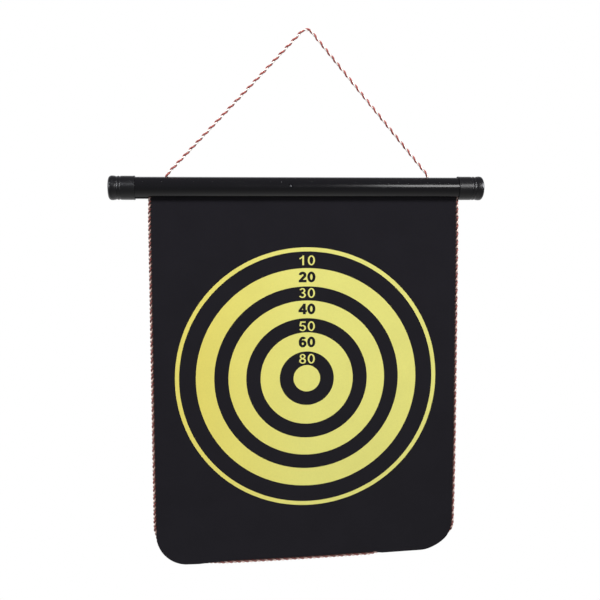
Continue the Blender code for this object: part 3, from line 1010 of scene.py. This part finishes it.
def ply_rings(centre_line, along, phase, radius, cord):
    def line(lengths):
        return ply_line(centre_line, lengths, phase, cord)

    points = line(along)
    side, depth = cross_axes(line, along, 0.04)
    turns = [TURN * j / PLY_SIDES for j in range(PLY_SIDES)]
    return [
        [p + radius * (math.cos(a) * across + math.sin(a) * deep) for a in turns]
        for p, across, deep in zip(points, side, depth)
    ]


def thread_and_crease_shade(points, along, cord):
    """How dark each point of the edge cord is painted: round towards the cloth with the dark sewing
    thread's colour and painted shade, and in the creases between the plies with painted shade."""
    centre = np.repeat(cord_centre(along), PLY_SIDES, 0)
    out = np.repeat(edge_line(along)[1], PLY_SIDES, 0)
    thread_and_shade_parts = []
    for ply, phase, radius in zip(np.split(points, 2), PHASES, cord.radii):
        heart = np.repeat(ply_line(cord_centre, along, phase, cord), PLY_SIDES, 0)
        away = heart - centre
        facing = ((ply - heart) * away).sum(1) / (radius * np.linalg.norm(away, axis=1))
        # painted shade in the creases where the two plies meet
        crease = 1.0 - smoothstep(facing, -0.55, 0.35)
        offset = ply - centre
        inwards = -(offset[:, 0] * out[:, 0] + offset[:, 2] * out[:, 1]) / (radius + cord.spread)
        # the darker of the two: thread colour and painted shade towards the cloth, or painted crease
        # shade
        thread_and_shade_parts.append(np.maximum(smoothstep(inwards, -0.45, 0.60), 0.62 * crease))
    return np.concatenate(thread_and_shade_parts)


def twisted(name, centre_line, start, end, cord):
    """A length of two-ply cord as one object: a red ply and a cream ply."""
    count = max(6, int(round((end - start) / cord.step)))
    along = np.linspace(start, end, count + 1)
    verts, faces, face_mats, uv = [], [], [], []
    for index, phase in enumerate(PHASES):
        rings = ply_rings(centre_line, along, phase, cord.radii[index], cord)
        ply_verts, ply_faces = sweep(rings)
        base = len(verts)
        verts += ply_verts
        faces += [tuple(base + i for i in face) for face in ply_faces]
        face_mats += [index] * len(ply_faces)
        for face in ply_faces:
            last_side = len(face) == 4 and max(c % PLY_SIDES for c in face) == PLY_SIDES - 1
            for corner in face:
                ring, j = divmod(corner, PLY_SIDES)
                uv.append((along[ring] * MM, 1.0 if last_side and j == 0 else j / PLY_SIDES))
    points = np.array(verts)
    if cord.sewn:
        # thread colour and painted shade, kept on the points for the ply material
        thread_and_shade = thread_and_crease_shade(points, along, cord)
        points = drape(points)
    obj = add_mesh(name, points, faces, PLIES, face_mats, uv, "ply")
    if cord.sewn:
        for key, values in (("thread_and_shade", thread_and_shade), ("sewn", np.ones(len(thread_and_shade)))):
            attribute = obj.data.attributes.new(key, "FLOAT", "POINT")
            attribute.data.foreach_set("value", values.astype(np.float32))
    face_outward(obj)
    smooth(obj, 60)
    return obj


def edge_cord(name, a, b):
    return twisted(name, cord_centre, *sorted((a, b)), EDGE_CORD)


def length_at(z, side):
    """Length along the edge where the cord passes height z on one side."""
    if z >= CORNER_Z:
        along = TOP_Z - z
    else:
        along = LEFT_END + CORNER_R * math.asin(min(1.0, (CORNER_Z - z) / CORNER_R))
    return along if side == "left" else EDGE_LENGTH - along


for side, start in (("left", 0.0), ("right", EDGE_LENGTH)):
    cuts = [start] + [length_at(z, side) for z in MIDS]
    for k in range(13):
        piece = edge_cord(f"edge_cord_{side}_piece_{k:02d}", cuts[k], cuts[k + 1])
        if k == 0:
            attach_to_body(piece, "roller")
        else:
            attach(piece, k)
        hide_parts(f"edge_cord_{side}_{min(k, 11):02d}")
ends = [length_at(MIDS[12], side) for side in ("left", "right")]
piece = edge_cord("edge_cord_bottom_piece", *ends)
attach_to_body(piece, "band_12")
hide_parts("edge_cord_bottom")

# ---------------------------------------------------------------- hanging cord
SWING_Z = AXIS_Z + TUBE_R + 1.85  # where the cord bends down into its holes
APEX_Z = 1.4  # centre line at the nail
APEX_BEND_R = 2.6
APEX_FLAT = 2.5  # half the level length over the nail


def hanger_points(foot_x, sign, bend):
    """One side of the hanging cord in (x, z), from the middle of the nail down into its hole.
    bend is the length of the slope that goes into the bend over the hole."""
    centre = np.array([sign * APEX_FLAT, APEX_Z - APEX_BEND_R])

    def on_bend(angle):
        return centre + APEX_BEND_R * np.array([sign * math.sin(angle), math.cos(angle)])

    turn = 0.0
    for _ in range(40):  # settles on the angle where the slope leaves the bend
        p = on_bend(turn)
        turn = math.atan2(p[1] - SWING_Z, sign * (foot_x - p[0]))
    points = [np.array([0.0, APEX_Z]), np.array([sign * APEX_FLAT * 0.5, APEX_Z])]
    points += [on_bend(turn * i / 8) for i in range(9)]
    last = points[-1]
    corner = np.array([foot_x, SWING_Z])
    slope = corner - last
    length = np.linalg.norm(slope)
    slope /= length
    points += [last + slope * d for d in np.linspace(length * 0.1, length - bend, 24)]
    end, below = points[-1], np.array([foot_x, SWING_Z - 4.2])
    for t in np.linspace(0, 1, 9)[1:]:
        points.append(end * (1 - t) ** 2 + corner * 2 * t * (1 - t) + below * t * t)
    points.append(np.array([foot_x, SWING_Z - 7.0]))
    return points


def running_length(path):
    return np.r_[0.0, np.cumsum(np.linalg.norm(np.diff(path, axis=0), axis=1))]


def resample(path, step=0.5):
    """Even, slightly smoothed points, so that the plies turn evenly."""
    lengths = running_length(path)
    along = np.linspace(0, lengths[-1], int(lengths[-1] / step) + 1)
    points = np.stack([np.interp(along, lengths, column) for column in path.T], 1)
    for _ in range(6):
        points[1:-1] = 0.25 * points[:-2] + 0.5 * points[1:-1] + 0.25 * points[2:]
    return points


def path_line(path):
    """A path as a function of length, which runs straight on past both ends, and its length."""
    lengths = running_length(path)

    def line(along):
        x, z = (np.interp(along, lengths, path[:, i]) for i in (0, 1))
        for edge, sign, tail in (
            (lengths[0], -1, path[0] - path[1]), (lengths[-1], 1, path[-1] - path[-2]),
        ):
            over = (along - edge) * sign
            past = over > 0
            tail = tail / np.linalg.norm(tail)
            x[past] += tail[0] * over[past]
            z[past] += tail[1] * over[past]
        return np.stack([x, np.zeros_like(x), z], 1)

    return line, lengths[-1]


left_half = hanger_points(FEET_X[0], sign=-1, bend=5.0)
right_half = hanger_points(FEET_X[1], sign=1, bend=2.6)
hanger_line, hanger_length = path_line(resample(np.array(left_half[::-1] + right_half[1:])))
hanging = twisted("hanging_cord_twisted", hanger_line, 0.0, hanger_length, HANGING_CORD)
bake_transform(hanging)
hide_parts("hanging_cord")


# ---------------------------------------------------------------- knots under the cord's holes
def knot(name, centre_x, centre_z):
    """An overhand knot, with stripes of the two plies winding along it."""
    size, radius = 1.95, 0.95
    rows, sides = 110, 14
    twist = 0.32  # turn of the plies from ring to ring, in radians

    def line(t):
        x = (np.sin(t) + 2 * np.sin(2 * t)) * size / 3
        y = (np.cos(t) - 2 * np.cos(2 * t)) * size / 3
        z = -np.sin(3 * t) * size / 2.6
        return np.stack([centre_x + x, y, centre_z + z], 1)

    t = np.linspace(0.0, TURN * 0.97, rows + 1)
    tangents = line(t + 1e-3) - line(t - 1e-3)
    tangents /= np.linalg.norm(tangents, axis=1)[:, None]
    normal = np.cross(tangents[0], np.array([0.3, 0.2, 1.0]))
    rings = []
    for i, (point, tangent) in enumerate(zip(line(t), tangents)):
        normal = normal - tangent * (normal @ tangent)
        normal /= np.linalg.norm(normal)
        other = np.cross(tangent, normal)
        ring = []
        for j in range(sides):
            a = TURN * j / sides
            lobed = radius * (1 + 0.16 * math.cos(2 * (a + i * twist)))
            ring.append(point + lobed * (math.cos(a) * normal + math.sin(a) * other))
        rings.append(ring)
    verts, faces = sweep(rings)
    face_mats, uv = [], []
    for face in faces:
        ring, j = divmod(face[0], sides)
        red = math.cos(TURN * (j + 0.5) / sides + (ring + 0.5) * twist) > 0
        face_mats.append(0 if red else 1)
        uv += [(c // sides * 0.0004, c % sides / sides) for c in face]
    obj = add_mesh(name, verts, faces, PLIES, face_mats, uv, "ply")
    face_outward(obj)
    smooth(obj)
    return obj


for side, x in zip(("left", "right"), FEET_X):
    bottom = node_box(f"cord_knot_{side}")[0][2]
    tied = knot(f"cord_knot_{side}_tied", x, bottom + 3.1)
    fit(tied, "roller", f"cord_knot_{side}")

# ---------------------------------------------------------------- roller tube
HOLE_R = 1.95
TUBE_BEVEL = 0.35  # at the outer rim of both ends
SCREW_TILT = math.radians(10)  # above straight to the front
SCREW_DIR = Vector((0, -math.cos(SCREW_TILT), math.sin(SCREW_TILT)))
UP = Vector((0, 0, 1))


def tube_section():
    """The tube's C-shaped section in (y, z) about its axis, with rounded slot lips."""

    def wall(radius, count):
        rear = -math.acos(SLOT_Y[1] / radius)
        front = TURN - math.acos(SLOT_Y[0] / radius)
        angles = np.linspace(rear, front, count)
        return [(radius * math.cos(a), radius * math.sin(a)) for a in angles]

    def lip(*points):
        """Rounds the two corners of one side of the slot."""
        return rounded(points, 0.15, 4)[1:-1]

    outer = wall(TUBE_R, 150)
    inner = wall(TUBE_R - TUBE_WALL, 110)[::-1]
    front_lip = lip(outer[-3], outer[-1], inner[0], inner[2])
    rear_lip = lip(inner[-3], inner[-1], outer[0], outer[2])
    return outer[2:-2] + front_lip + inner[2:-2] + rear_lip


def end_scale(y, z):
    """Bevels the tube's end: the outside goes in and the bore goes out."""
    radius = math.hypot(y, z)
    if radius > TUBE_R - 0.2:
        return (radius - TUBE_BEVEL) / radius
    if radius < TUBE_R - TUBE_WALL + 0.2:
        return (radius + 0.25) / radius
    return 1.0


def tube_shell():
    xs = [TUBE_X[0], TUBE_X[0] + TUBE_BEVEL, TUBE_X[1] - TUBE_BEVEL, TUBE_X[1]]
    for x in (*FEET_X, (TUBE_X[0] + TUBE_X[1]) / 2 - 10.6):
        xs += [x - 7, x + 7]
    section = tube_section()
    rings = []
    for x in sorted(xs):
        scales = [end_scale(y, z) if x in TUBE_X else 1.0 for y, z in section]
        rings.append([(x, y * k, AXIS_Z + z * k) for (y, z), k in zip(section, scales)])
    return swept("roller_tube_shell", rings, TUBE_PLASTIC)


def from_axis(x, direction):
    """Places a lathed piece on the tube's axis, pointing outwards in this direction."""
    turn = UP.rotation_difference(direction).to_matrix().to_4x4()
    return Matrix.Translation((x, 0, AXIS_Z)) @ turn


def drill(direction, x, chamfer):
    """A cutter for a round hole through the wall, with a small countersink at the surface."""
    top, low = TUBE_R + 2.0, TUBE_R - 3.0
    profile = [
        (0.0, top), (HOLE_R + chamfer + 2.0, top), (HOLE_R, TUBE_R - chamfer),
        (HOLE_R, low), (0.0, low),
    ]
    return lathe("drill", profile, 40, from_axis(x, direction), TUBE_PLASTIC)


tube = tube_shell()
for x in FEET_X:
    boolean_cut(tube, drill(UP, x, chamfer=0.35))
boolean_cut(tube, drill(SCREW_DIR, SCREW_X, chamfer=0.25))
smooth(tube, 38)
even_shading = tube.modifiers.new("even shading", "WEIGHTED_NORMAL")
even_shading.keep_sharp = True
fit(tube, "roller", "roller_tube")


# ---------------------------------------------------------------- set screw
def screw_profile():
    """A domed head over a threaded shank: (radius, distance from the tube's axis)."""
    shank_in = 7.6
    height = shank_in + 0.7
    profile = [(0.0, shank_in), (0.5, shank_in), (0.92, height)]
    while height < 11.3:  # thread
        profile += [(0.95, height), (0.80, height + 0.22)]
        height += 0.44
    return profile + [
        (0.95, 11.55), (1.66, 11.6), (1.70, 11.72), (1.70, 11.9), (1.62, 12.05),
        (1.35, 12.2), (0.95, 12.3), (0.5, 12.36), (0.0, 12.38),
    ]


def recess_blade(place):
    """One arm of the cross recess, as a tapered cutter."""
    rings = []
    # distance from the tube's axis, half width, half thickness
    for z, width, thick in ((11.85, 0.4, 0.14), (12.0, 0.72, 0.2), (13.0, 1.0, 0.26)):
        corners = ((1, 1), (-1, 1), (-1, -1), (1, -1))
        rings.append([tuple(place @ Vector((a * width, b * thick, z))) for a, b in corners])
    return swept("blade", rings, STEEL)


screw_place = from_axis(SCREW_X, SCREW_DIR)
screw = lathe("set_screw_head_and_shank", screw_profile(), 48, screw_place, STEEL, 32)
for angle in (20, 110):
    turned = screw_place @ Matrix.Rotation(math.radians(angle), 4, "Z")
    boolean_cut(screw, recess_blade(turned))
smooth(screw, 32)
fit(screw, "roller", "centre_set_screw")

# ---------------------------------------------------------------- end caps
# (radius, distance from the mouth), from the middle of the end face down to the mouth:
# rounded end, two grip grooves, plain skirt, raised lip
CAP_OUTSIDE = [
    (0.0, 29.5), (6.0, 29.45), (8.6, 29.35), (11.0, 28.9), (12.7, 27.8), (13.45, 26.3),
    (13.62, 24.8), (13.5, 23.2), (13.2, 21.3), (12.78, 20.5), (12.78, 19.2), (13.3, 18.7),
    (13.3, 17.5), (12.78, 17.0), (12.78, 15.9), (13.3, 15.4), (13.3, 1.75), (13.48, 1.35),
    (13.48, 0.25), (13.3, 0.0),
]
CAP_BORE = TUBE_R + 0.3
CAP_INSIDE = [(CAP_BORE + 0.25, 0.0), (CAP_BORE, 0.3), (CAP_BORE, 27.0), (0.0, 27.0)]
cap_profile = rounded(CAP_OUTSIDE + CAP_INSIDE, 0.45, 5, keep=(1, 2))
mouths = {"left": node_box("left_end_cap")[1][0], "right": node_box("right_end_cap")[0][0]}
caps = {}
for side, sign in (("left", -1), ("right", 1)):
    place = Matrix.Translation((mouths[side], 0, AXIS_Z))
    place = place @ Matrix.Rotation(sign * math.pi / 2, 4, "Y")
    cap = lathe(f"{side}_end_cap_moulded", cap_profile, 128, place, CAP_PLASTIC, 50)
    fit(cap, f"{side}_cap", f"{side}_end_cap")
    caps[side] = cap

# ---------------------------------------------------------------- retaining rod
rod_half = (rod_high[0] - rod_low[0]) / 2
rod_end = [
    (0.0, rod_half), (ROD_R - 0.5, rod_half), (ROD_R - 0.15, rod_half - 0.15),
    (ROD_R, rod_half - 0.5),
]
rod_profile = rod_end + [(radius, -height) for radius, height in rod_end[::-1]]
rod_place = Matrix.Translation((ROD_X, ROD_Y, ROD_Z)) @ Matrix.Rotation(math.pi / 2, 4, "Y")
rod = lathe("retaining_rod_drawn", rod_profile, 48, rod_place, ROD_PLASTIC)
fit(rod, "roller", "retaining_rod")

# ---------------------------------------------------------------- studio, in metres
FLOOR_Z = -0.92
FLOOR_HALF = 6


def split_by_camera(tree, output_kind, lighting, seen):
    """Shows one shader to the camera and lights the board with the other."""
    path = add_node(tree, "ShaderNodeLightPath")
    inputs = {0: path.outputs["Is Camera Ray"], 1: lighting.outputs[0], 2: seen.outputs[0]}
    mixer = add_node(tree, "ShaderNodeMixShader", inputs)
    add_node(tree, output_kind, {0: mixer.outputs[0]})


def floor_material():
    """White to the camera. The light it sends back is strongest just under the board and falls
    away from it, and it is strong again behind the board."""
    material = bpy.data.materials.new("studio_floor")
    material.use_nodes = True
    tree = material.node_tree
    tree.nodes.clear()

    def math_node(operation, *values):
        inputs = dict(enumerate(values))
        return add_node(tree, "ShaderNodeMath", inputs, operation=operation).outputs[0]

    position = add_node(tree, "ShaderNodeNewGeometry").outputs["Position"]
    distance = add_node(
        tree, "ShaderNodeVectorMath", {0: position, 1: (0, 0, FLOOR_Z)}, operation="DISTANCE"
    ).outputs["Value"]
    fade_length, strength, least = 0.55, 0.80, 0.17
    fall = math_node("EXPONENT", math_node("MULTIPLY", distance, -1 / fade_length))
    level = math_node("MULTIPLY_ADD", fall, strength, least)
    y = add_node(tree, "ShaderNodeSeparateXYZ", {0: position}).outputs["Y"]
    behind = map_range(tree, y, source=(0.0, 0.4), to=(0.0, 0.9))
    brighter = math_node("MAXIMUM", behind, level)
    bounce = add_node(
        tree, "ShaderNodeEmission", {"Color": (1.0, 0.99, 1.0, 1), "Strength": brighter}
    )
    glow = add_node(tree, "ShaderNodeEmission", {"Color": (1, 1, 1, 1)})
    split_by_camera(tree, "ShaderNodeOutputMaterial", bounce, glow)
    return material


def studio_world():
    """White to the camera. Its light is dim in front and overhead, and bright at the back."""
    world = bpy.data.worlds.new("studio")
    bpy.context.scene.world = world
    world.use_nodes = True
    tree = world.node_tree
    tree.nodes.clear()
    direction = add_node(tree, "ShaderNodeTexCoord").outputs["Generated"]
    y = add_node(tree, "ShaderNodeSeparateXYZ", {0: direction}).outputs["Y"]
    strength = map_range(tree, y, source=(0.60, 0.85), to=(0.15, 1.0))
    lighting = add_node(
        tree, "ShaderNodeBackground", {"Color": (0.96, 0.97, 1.0, 1), "Strength": strength}
    )
    seen = add_node(tree, "ShaderNodeBackground", {"Color": (1, 1, 1, 1), "Strength": 1.0})
    split_by_camera(tree, "ShaderNodeOutputWorld", lighting, seen)


floor_corners = [
    (x * FLOOR_HALF / MM, y * FLOOR_HALF / MM, FLOOR_Z / MM)
    for x, y in ((-1, -1), (1, -1), (1, 1), (-1, 1))
]
add_mesh("studio_floor", floor_corners, [(0, 1, 2, 3)], [floor_material()])
studio_world()


def toward(azimuth, elevation):
    """Unit vector from the board: azimuth 0 is straight in front, positive to the right."""
    a, e = math.radians(azimuth), math.radians(elevation)
    return Vector((math.sin(a) * math.cos(e), -math.cos(a) * math.cos(e), math.sin(e)))


def soft_box(name, target, angles, distance, size, radiance,
             color=(1, 1, 1), reflected=False, only=None):
    """A soft box seen from target at (azimuth, elevation). It shows only in reflections if
    reflected, otherwise only in diffuse light. It may light one object only."""
    light = bpy.data.lights.new(name, "AREA")
    light.shape = "RECTANGLE"
    light.size, light.size_y = size
    light.energy = radiance * math.pi * size[0] * size[1]
    light.color = color
    obj = bpy.data.objects.new(name, light)
    bpy.context.scene.collection.objects.link(obj)
    direction = toward(*angles).normalized()
    obj.location = Vector(target) + direction * distance
    obj.rotation_mode = "QUATERNION"
    obj.rotation_quaternion = direction.to_track_quat("Z", "Y")
    obj.visible_glossy = reflected
    obj.visible_diffuse = not reflected
    obj.visible_camera = False
    if only:
        receivers = bpy.data.collections.new(f"{obj.name}_receivers")
        receivers.objects.link(only)
        obj.light_linking.receiver_collection = receivers


soft_box(
    "key_softbox", target=(0, 0, -0.30), angles=(-8, 65.5), distance=3.3,
    size=(2.67, 0.404), radiance=69.0, color=(1.0, 0.99, 0.985),
)
soft_box(
    "front_fill", target=(0, 0, -0.40), angles=(20, 14), distance=2.6,
    size=(1.4, 1.4), radiance=0.42, color=(0.95, 0.97, 1.0),
)
soft_box(
    "rear_fill", target=(0, 0, -0.30), angles=(165, 35), distance=2.4,
    size=(1.6, 1.2), radiance=1.0, color=(0.97, 0.98, 1.0),
)
soft_box(
    "tube_strip", target=(0.16, 0, -0.17), angles=(24, 24), distance=1.6,
    size=(0.75, 0.54), radiance=8.0, reflected=True,
)
soft_box(
    "cap_strip", target=(-0.205, 0, -0.1726), angles=(-6.8, 36), distance=1.6,
    size=(0.11, 0.50), radiance=10.0, color=(0.92, 0.94, 1.0), reflected=True,
    only=caps["left"],
)
for side, cap_x, azimuth in (("left", -0.205, -80), ("right", 0.19, 81)):
    soft_box(
        f"side_box_{azimuth}", target=(cap_x, 0, -0.17), angles=(azimuth, 17), distance=1.8,
        size=(0.45, 0.62), radiance=34.0, color=(0.94, 0.95, 1.0), reflected=True,
        only=caps[side],
    )
soft_box(
    "cord_box", target=(-0.009, 0, -0.078), angles=(4, -16), distance=1.6,
    size=(1.2, 0.8), radiance=3.8, only=hanging,
)

# ---------------------------------------------------------------- camera and picture
scene = bpy.context.scene
camera_data = bpy.data.cameras.new("camera")
camera_data.sensor_width = 36.0
camera_data.lens = 53.5
camera_data.clip_start, camera_data.clip_end = 0.01, 50
camera = bpy.data.objects.new("camera", camera_data)
scene.collection.objects.link(camera)
camera.location = (-0.10395, -1.0082, -0.1910)
camera.rotation_mode = "QUATERNION"
view_direction = Vector((0.09488, 0.98978, -0.10644))
camera.rotation_quaternion = view_direction.to_track_quat("-Z", "Y")
scene.camera = camera
scene.view_settings.view_transform = "Standard"
scene.view_settings.look = "None"

bpy.context.view_layer.update()
